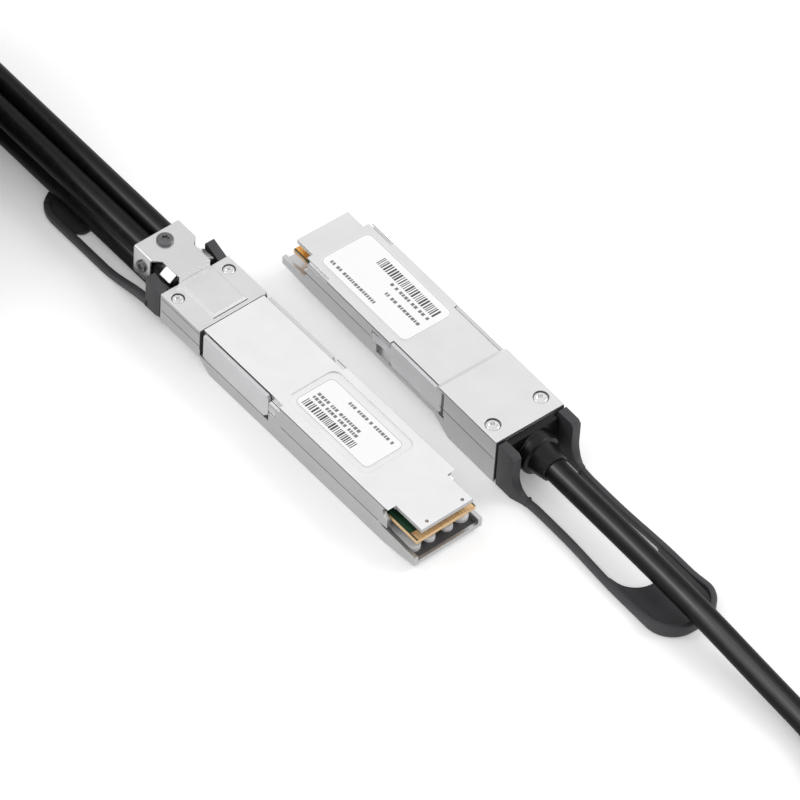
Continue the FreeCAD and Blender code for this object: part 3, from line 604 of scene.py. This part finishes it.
def label_print(pre, plug, corner, bars, rows, seed):
    """A label's marks. bars are (x0, x1, y0, y1) and rows (x0, x1, y), as shares of its length and width."""
    low, high = local_box(pre + "label", plug)
    long, wide = high.x - low.x, high.y - low.y

    def across(share):
        return low.y + share * wide

    def along(share):
        return low.x + share * long

    edges = (low.x + OUTLINE_IN, high.x - OUTLINE_IN, low.y + OUTLINE_IN, high.y - OUTLINE_IN)
    band = (along(bars[0]), along(bars[1]), across(bars[2]), across(bars[3]))
    dashes = [(along(a), along(b), across(c)) for a, b, c in rows]
    return [
        label_outline(pre + "label_outline", plug, *edges, corner, high.z),
        plain_bars(pre + "label_bars", plug, *band, high.z, seed),
        plain_dashes(pre + "label_dashes", plug, dashes, high.z, seed + 4),
    ]


SEAM_HALF = 0.085  # half the height of a parting line
SEAM_DEEP, GAP_DEEP = 0.05, 0.06  # how far inside the plug's side a line starts and a strip ends


def seam_shadow_lines(name, plug, runs, gaps):
    """Dark lines of painted shadow along the parting lines on both sides of a housing, and dark strips of
    painted shade in its narrow gaps.

    runs are (from x, to x, height); gaps are (from x, to x, inner half width, low z, high z).
    """
    bm = bmesh.new()
    for side in (-1, 1):
        for x0, x1, z in runs:
            outer = side * (PLUG_HALF + INK)
            add_block(bm, x0, x1, side * (PLUG_HALF - SEAM_DEEP), outer, z - SEAM_HALF, z + SEAM_HALF)
        for x0, x1, inner, z0, z1 in gaps:
            add_block(bm, x0, x1, side * inner, side * (PLUG_HALF - GAP_DEEP), z0, z1)
    return mesh_piece(name, bm, plug, SEAM_SHADOW, "cable", "zinc_shell")


def plateau_shadow_line(x0, x1, y0, y1, step):
    """A painted shadow line where the rear cap's raised middle ends, on the cap just beyond its step."""
    top = local_box("host_rear_cap", HOST)[1].z - step
    bm = bmesh.new()
    add_block(bm, x0, x1, y0, y1, top - INK, top + INK)
    mesh_piece("host_plateau_line", bm, HOST, SEAM_SHADOW, "cable", "zinc_cover")


def nose_floor_shade(x0, x1, half, z, thick=0.05):
    """A dark film of painted shade that lines the floor of the host plug's nose."""
    bm = bmesh.new()
    add_block(bm, x0, x1, -half, half, z - INK, z + thick)
    mesh_piece("host_nose_floor", bm, HOST, SHADE, "cable", "zinc_shell")


def nose_pads(x0, x1, pads, z0, z1):
    """Long pads with round ends on the floor of the host plug's nose."""
    bm = bmesh.new()
    for y, wide in pads:
        rings = []
        for shrink, z in ((0.0, z0), (0.0, z1 - 0.45), (0.12, z1 - 0.15), (0.42, z1)):
            half = wide / 2 - shrink
            line = round_rect(x0 + shrink, x1 - shrink, y - half, y + half, half - 0.01, 8)
            rings.append([(px, py, z) for px, py in line])
        add_rings(bm, rings)
    mesh_piece("host_nose_pads", bm, HOST, PAD, "cable", "zinc_shell", smooth=50)


# the boot's flange: from and to in x, y and z, and its half width where it is inside the plug
FLANGE = (-1.6, 5.9, -6.6, 6.6, 1.1, 11.4)
FLANGE_NECK = 5.5
# x and radius along the boot's collar with its groove, and along its nozzle
BOOT_PROFILE = (
    (-1.5, 5.0), (-2.2, 5.0), (-2.35, 4.86), (-2.5, 4.86), (-2.65, 5.0),
    (-4.0, 5.0), (-4.45, 4.82), (-4.6, 4.4), (-4.75, 4.05), (-5.6, 3.85),
    (-6.9, 3.6), (-8.2, 3.36), (-8.75, 3.28), (-9.0, 3.05), (-9.0, 2.7),
)
BOOT_FLATS = 40


def boot(k):
    """Rubber boot: a soft flange, a round collar with a groove, and a short tapered nozzle."""
    bm = bmesh.new()
    for v in add_block(bm, *FLANGE):
        if v.co.x > 0:
            v.co.y = FLANGE_NECK if v.co.y > 0 else -FLANGE_NECK
    bmesh.ops.bevel(bm, geom=list(bm.edges), offset=0.35, segments=3, affect="EDGES", profile=0.6)
    turns = [2 * math.pi * i / BOOT_FLATS for i in range(BOOT_FLATS)]
    rings = [[(x, r * math.sin(t), LEG_EXIT_Z + r * math.cos(t)) for t in turns] for x, r in BOOT_PROFILE]
    add_rings(bm, rings)
    name, solid = "leg%d_boot_shape" % k, "leg%d_boot" % k
    return mesh_piece(name, bm, leg_frame(k), BOOT_RUBBER, "cable", "boot_rubber", (solid,), 32)


# Pull tabs: a band round the edge and a thin floor at the end, behind the ears that grip the slider
TAB_LOW, TAB_WEB_TOP = 0.2, 1.0  # underside of the band and floor, and the floor's top
TAB_OVERLAP = 0.1  # how far the floor runs into the band


def ease_to(x, x0, x1, a, b):
    """a at x0, b at x1, and a soft curve between them."""
    return a + (b - a) * ease((x - x0) / (x1 - x0))


def tab_outline(end, r, start, half_at):
    """Half of a pull tab's outline from its start to the middle of its end: (x, y, outward x, outward y)."""
    near, side_step, corner_steps, end_step = 0.2, 0.8, 14, 0.5
    line = []
    x = start
    while x > end + r:
        slope = (half_at(x - near) - half_at(x + near)) / (2 * near)
        line.append((x, half_at(x), slope, 1.0))
        x -= side_step
    wide = half_at(end + r)
    for i in range(corner_steps + 1):
        t = math.radians(90 * i / corner_steps)
        line.append((end + r - r * math.sin(t), wide - r + r * math.cos(t), -math.sin(t), math.cos(t)))
    y = wide - r - end_step
    while y > 0.1:
        line.append((end, y, -1.0, 0.0))
        y -= end_step
    return line


def tab_band(name, plug, line, thick, low_at, high_at, body):
    """The upright band round a pull tab, with rounded edges; heights come from the place along it."""
    both = line + [(x, -y, nx, -ny) for x, y, nx, ny in reversed(line)]
    rings = []
    for x, y, nx, ny in both:
        low, high, size = low_at(x, y), high_at(x, y), math.hypot(nx, ny)
        section = (
            (0.25, low), (0.07, low + 0.07), (0.0, low + 0.25), (0.0, high - 0.35), (0.07, high - 0.14),
            (0.25, high - 0.02), (0.45, high), (thick - 0.45, high), (thick - 0.25, high - 0.02),
            (thick - 0.07, high - 0.14), (thick, high - 0.35), (thick, low + 0.2), (thick - 0.15, low),
        )
        rings.append([(x - nx / size * inward, y - ny / size * inward, z) for inward, z in section])
    bm = bmesh.new()
    add_rings(bm, rings)
    return mesh_piece(name, bm, plug, BLACK_TAB, body, "tab_plastic", smooth=60)


def tab_web(name, plug, end, r, wide, inner_edge, body, rise=0.55):
    """The thin floor of a pull tab's end, dished up by rise to the band around it."""
    columns, rows, dish_wide, edge_in, edge_drop = 40, 18, 1.6, 0.12, 0.15
    z0, z1 = TAB_LOW, TAB_WEB_TOP

    def out_x(y):
        over = abs(y) - (wide - r)
        return end if over <= 0 else end + r - math.sqrt(max(r * r - over * over, 0.0))

    def from_band(x, y):
        over = abs(y) - (wide - r)
        if x > end + r:
            return wide - abs(y)
        return x - end if over <= 0 else r - math.hypot(x - end - r, over)

    rings = []
    for j in range(columns + 1):
        y = wide * (2 * j / columns - 1)
        x0, x1 = out_x(y), inner_edge(y)
        top = []
        for i in range(rows + 1):
            x = x0 + (x1 - x0) * (i / rows) ** 1.4
            dish = rise * max(0.0, 1 - from_band(x, y) / dish_wide) ** 2
            top.append((x, y, z1 + dish))
        nose = [(x1 + edge_in, y, z1 - edge_drop), (x1 + edge_in, y, z0 + edge_drop)]
        rings.append(top + nose + [(x1, y, z0), (x0, y, z0)])
    bm = bmesh.new()
    add_rings(bm, rings)
    return mesh_piece(name, bm, plug, BLACK_TAB, body, "tab_plastic", smooth=50)


def ears_only(piece, plug, x):
    """Cuts a softened pull tab off behind x, where the smooth band takes over."""
    bm = bmesh.new()
    bm.from_mesh(piece.data)
    place, rearward = plug @ Vector((x * MM, 0, 0)), plug.to_3x3() @ Vector((-1, 0, 0))
    cut = bmesh.ops.bisect_plane(bm, geom=list(bm.verts) + list(bm.edges) + list(bm.faces), dist=1e-7,
                                 plane_co=place, plane_no=rearward, clear_outer=True)
    rim = [e for e in cut["geom_cut"] if isinstance(e, bmesh.types.BMEdge)]
    bmesh.ops.holes_fill(bm, edges=rim, sides=0)
    bm.to_mesh(piece.data)
    bm.free()
    piece.data.shade_smooth()


def host_tab():
    """The host plug's pull tab: its rim dips where the cables pass over it."""
    body = frame["nodes"]["host_pull_tab"]["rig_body"]
    ears_end, ears_soft = -5.25, 0.22
    end, r, arm, start = -46.0, 8.0, 1.5, -4.4
    cables_half, slope = 6.4, 1.2
    arm_low, arm_high, rim_high, dip_high = 2.65, 4.9, 2.0, 1.02
    low_falls, high_falls = (4.4, 21.0), (5.0, 20.0)
    finger_x, finger_flat, finger_corner, finger_bow = -31.0, 5.0, 2.7, 2.5

    def half_at(x):
        return PLUG_HALF

    def low_at(x, y):
        return ease_to(-x, *low_falls, arm_low, TAB_LOW)

    def high_at(x, y):
        if abs(y) < cables_half + slope and x < end + r:
            return ease_to(abs(y), cables_half, cables_half + slope, dip_high, rim_high)
        return ease_to(-x, *high_falls, arm_high, rim_high)

    def finger_edge(y):
        return finger_x - finger_bow * max(0.0, (abs(y) - finger_flat) / finger_corner) ** 2

    ears_only(softened("host_pull_tab", BLACK_TAB, ears_soft), HOST, ears_end)
    tab_band("host_tab_band", HOST, tab_outline(end, r, start, half_at), arm, low_at, high_at, body)
    tab_web("host_tab_web", HOST, end + arm - TAB_OVERLAP, r - arm, PLUG_HALF - arm + TAB_OVERLAP,
            finger_edge, body, rise=0.0)


def leg_tab(k):
    """A leg plug's pull tab, a little waisted, with a raised rim round its end."""
    plug, pre = leg_frame(k), "leg%d_" % k
    body = frame["nodes"][pre + "pull_tab"]["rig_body"]
    ears_end, ears_soft = -9.6, 0.25
    end, r, arm, start = -56.5, 7.0, 1.4, -9.0
    ears_half, waist_half, end_half = 8.1, 7.9, 8.6
    narrows, widens, rim_rises = (9.0, 13.0), (20.0, 40.0), (44.0, 52.0)
    side_high, rim_high = 2.0, 3.0
    finger_x, finger_r, finger_flat, finger_corner, finger_bow = -35.4, 6.5, 6.0, 1.3, 2.0

    def half_at(x):
        if -x < narrows[1]:
            return ease_to(-x, *narrows, ears_half, waist_half)
        return ease_to(-x, *widens, waist_half, end_half)

    def low_at(x, y):
        return TAB_LOW

    def high_at(x, y):
        return ease_to(-x, *rim_rises, side_high, rim_high)

    def finger_edge(y):
        round_end = finger_x - math.sqrt(max(finger_r ** 2 - y * y, 0.6))
        return round_end + max(0.0, (abs(y) - finger_flat) / finger_corner) ** 2 * finger_bow

    ears = softened(pre + "pull_tab", BLACK_TAB, ears_soft)
    ears_only(ears, plug, ears_end)
    band = tab_band(pre + "tab_band", plug, tab_outline(end, r, start, half_at), arm, low_at, high_at, body)
    web = tab_web(pre + "tab_web", plug, end + arm - TAB_OVERLAP, r - arm, end_half - arm + TAB_OVERLAP,
                  finger_edge, body)
    return [ears, band, web]


# The host plug
CAP_SCREW = {"d": 2.7, "high": 0.7, "recess": 0.62, "finish": SCREW_BRIGHT, "slot": "steel_screw"}
CLAMP_TOP_SCREW = {"d": 3.8, "high": 0.7, "recess": 0.85, "finish": SCREW_DARK, "slot": "dark_steel"}
CLAMP_SIDE_SCREW = {"d": 2.9, "high": 0.6, "recess": 0.7, "finish": SCREW_DARK, "slot": "dark_steel"}
CAP_SCREW_AT = (3.1, 6.95, 9.9)
CLAMP_SCREW_X, CLAMP_TOP, CLAMP_SIDE, CLAMP_SIDE_Z = -10.2, 12.9, 6.2, 8.9
HOST_PADS_LONG = 2.2
HOST_LABEL = {
    "corner": 1.4, "seed": 5, "bars": (0.066, 0.760, 0.092, 0.284),
    "rows": ((0.074, 0.694, 0.385), (0.074, 0.653, 0.505), (0.322, 0.917, 0.826)),
}
PLATEAU = {"x0": 12.12, "x1": 12.32, "y0": -4.6, "y1": 4.8, "step": 0.3}
NOSE_X, NOSE_FLOOR, NOSE_PAD_TOP = 66.1, 2.5, 3.85
NOSE_FLOOR_END, NOSE_PAD_END, NOSE_HALF = 84.3, 83.0, 8.1
NOSE_PADS = ((-6.5, 3.6), (-2.4, 2.7), (2.4, 2.7), (6.5, 3.6))  # middle and width of each
HOST_SEAMS = {
    "runs": ((0.4, 13.2, 6.0), (40.8, 73.0, 5.0), (0.3, 13.2, 9.72), (37.0, 75.6, 10.4), (13.9, 36.4, 3.5)),
    "gaps": ((-0.24, 0.02, 6.9, 3.3, 9.6), (13.28, 13.52, 0.0, 3.2, 10.0)),
}


def dress_host():
    """Finishes and fittings of the host plug."""
    metals = (("cover", NICKEL), ("rear_cap", NICKEL_CAP), ("lower_shell", NICKEL_DEEP))
    for node, finish in (*metals, ("label", FILM)):
        coat("host_" + node, finish)
    coat("host_slider", brushed_sheet("host slider steel", HOST_TURN, **SLIDER_STEEL))
    coat("host_cable_clamp", brushed_sheet("clamp steel", HOST_TURN, **CLAMP_STEEL))
    coat("host_card", circuit_board("host card mask", HOST_TURN))
    host_tab()
    x, y, z = CAP_SCREW_AT
    screw("host_cap_screw_near", HOST, (x, -y, z), **CAP_SCREW, stands_for=("host_cap_screws",))
    screw("host_cap_screw_far", HOST, (x, y, z), **CAP_SCREW)
    x, y, z = CLAMP_SCREW_X, CLAMP_SIDE, CLAMP_SIDE_Z
    top, near, far = (x, 0, CLAMP_TOP), (x, -y, z), (x, y, z)
    screw("host_clamp_screw_top", HOST, top, **CLAMP_TOP_SCREW, stands_for=("host_clamp_screws",))
    screw("host_clamp_screw_near", HOST, near, **CLAMP_SIDE_SCREW, looks="Y-")
    screw("host_clamp_screw_far", HOST, far, **CLAMP_SIDE_SCREW, looks="Y+")
    contacts("host_", HOST, HOST_PADS_LONG, GOLD_PALE)
    label_print("host_", HOST, **HOST_LABEL)
    plateau_shadow_line(**PLATEAU)
    nose_floor_shade(NOSE_X, NOSE_FLOOR_END, NOSE_HALF, NOSE_FLOOR)
    nose_pads(NOSE_X, NOSE_PAD_END, NOSE_PADS, NOSE_FLOOR, NOSE_PAD_TOP)
    seam_shadow_lines("host_seams", HOST, **HOST_SEAMS)


# The leg plugs
REAR_SCREW = {"d": 3.2, "high": 0.8, "recess": 0.85, "finish": SCREW_BRIGHT, "slot": "steel_screw"}
REAR_SCREW_AT = (4.4, 6.5, 11.6)
LEG_PADS_LONG = 3.9
LEG_LABEL = {
    "corner": 1.7, "seed": 17, "bars": (0.071, 0.749, 0.140, 0.320),
    "rows": ((0.071, 0.529, 0.399), (0.071, 0.461, 0.586), (0.427, 0.946, 0.853)),
}
LEG_SEAMS = {
    "runs": ((0.4, 18.8, 7.1), (42.4, 65.0, 7.9), (0.3, 18.8, 12.35), (36.0, 65.0, 11.3)),
    "gaps": ((-0.24, 0.02, 6.95, 0.9, 12.3),),
}
LEG_NODES = ("lower_shell", "cover", "screws", "card", "label", "boot", "slider", "pull_tab")


def dress_leg(k):
    """Finishes and fittings of one leg plug, with its cord."""
    plug, pre, turn = leg_frame(k), "leg%d_" % k, LEG_AT[k][2]
    for node, finish in (("cover", NICKEL_LEG), ("lower_shell", NICKEL_DEEP), ("label", FILM)):
        coat(pre + node, finish)
    coat(pre + "slider", brushed_sheet(pre + "slider steel", turn, **SLIDER_STEEL))
    coat(pre + "card", circuit_board(pre + "card mask", turn))
    x, y, z = REAR_SCREW_AT
    fittings = [
        boot(k),
        screw(pre + "screw_near", plug, (x, -y, z), **REAR_SCREW, stands_for=(pre + "screws",)),
        screw(pre + "screw_far", plug, (x, y, z), **REAR_SCREW),
        seam_shadow_lines(pre + "seams", plug, **LEG_SEAMS),
    ]
    fittings += contacts(pre, plug, LEG_PADS_LONG, GOLD_DEEP)
    fittings += label_print(pre, plug, **LEG_LABEL)
    fittings += leg_tab(k)
    cord, start = leg_cord(k)
    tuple(start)
    [pre + node for node in LEG_NODES] + fittings


dress_host()
for k in LEG_AT:
    dress_leg(k)


# Table, light and camera
def in_view(tree):
    """1 for a ray that shows the backdrop, straight or by metal or glass, and 0 for one that lights."""
    seen = tree.nodes.new("ShaderNodeLightPath")
    kinds = [Tone(tree, seen.outputs["Is %s Ray" % kind]) for kind in ("Camera", "Glossy", "Transmission")]
    return (kinds[0] + kinds[1] + kinds[2]).held()


TABLE_HALF = 3.0  # metres
TABLE_SHOWS = 0.2  # what is added to the table where it is the backdrop


def white_table():
    """A white table that keeps the plugs' shadows."""
    bm = bmesh.new()
    bmesh.ops.create_grid(bm, x_segments=1, y_segments=1, size=TABLE_HALF)
    mesh = bpy.data.meshes.new("table")
    bm.to_mesh(mesh)
    bm.free()
    table = bpy.data.objects.new("table", mesh)
    bpy.context.scene.collection.objects.link(table)
    f = Finish("white table")
    tooth = f.grain(f.spots(), 300.0, 2.0)
    white = f.blend(tooth, (0.955, 0.955, 0.957), (0.965, 0.965, 0.966))
    glow = f.blend(in_view(f.tree), (0.0, 0.0, 0.0), (1.0, 1.0, 1.0))
    mesh.materials.append(f.finish(white, 0.85, **{"Emission Color": glow, "Emission Strength": TABLE_SHOWS}))


MIDDLE = Vector((0.01, 0.01, 0.0))  # the spot on the table, in metres, that the lamps look at


def soft_lamp(name, place, size, power):
    """A square soft light: its place and width in metres, and its power in watts."""
    data = bpy.data.lights.new(name, "AREA")
    data.shape = "SQUARE"
    data.size = size
    data.energy = power
    lamp = bpy.data.objects.new(name, data)
    lamp.location = place
    lamp.rotation_euler = (MIDDLE - Vector(place)).to_track_quat("-Z", "Y").to_euler()
    bpy.context.scene.collection.objects.link(lamp)


def studio_world(level):
    """A white backdrop that lights the plugs at a level below 1."""
    world = bpy.data.worlds.new("studio")
    world.use_nodes = True
    bpy.context.scene.world = world
    tree = world.node_tree
    tree.nodes.clear()
    sky = tree.nodes.new("ShaderNodeBackground")
    sky.inputs[0].default_value = (1.0, 1.0, 1.0, 1.0)
    plug_in(tree, sky.inputs[1], in_view(tree) * (1.0 - level) + level)
    tree.links.new(sky.outputs[0], tree.nodes.new("ShaderNodeOutputWorld").inputs[0])


white_table()
# neither lamp stands where the plugs' flat tops would mirror it to the camera
soft_lamp("key light", (0.80, 0.34, 0.75), 0.6, 4.0)
soft_lamp("side light", (-0.73, 0.03, 0.83), 0.36, 1.4)
studio_world(0.76)

scene = bpy.context.scene
scene.view_settings.view_transform = "Standard"
lens = bpy.data.cameras.new("camera")
lens.lens = 300.0
lens.sensor_width = 36.0
lens.clip_end = 20.0
camera = bpy.data.objects.new("camera", lens)
scene.collection.objects.link(camera)
# the directions of the photograph's right, up and towards its camera, as fitted to the plugs' edges
RIGHT = Vector((0.9948, 0.0923, 0.0462))
UP = Vector((-0.0998, 0.7463, 0.6580))
BACK = Vector((0.0262, -0.6592, 0.7516))
AIM = Vector((0.014, 0.0128, 0.0)) + RIGHT * 0.0006 - UP * 0.0008  # what the picture's middle shows
AWAY = 1.418  # metres from there to the camera
turn = Matrix((RIGHT, UP, BACK)).transposed().to_4x4()
camera.matrix_world = Matrix.Translation(AIM + BACK * AWAY) @ turn
scene.camera = camera

bpy.context.view_layer.update()
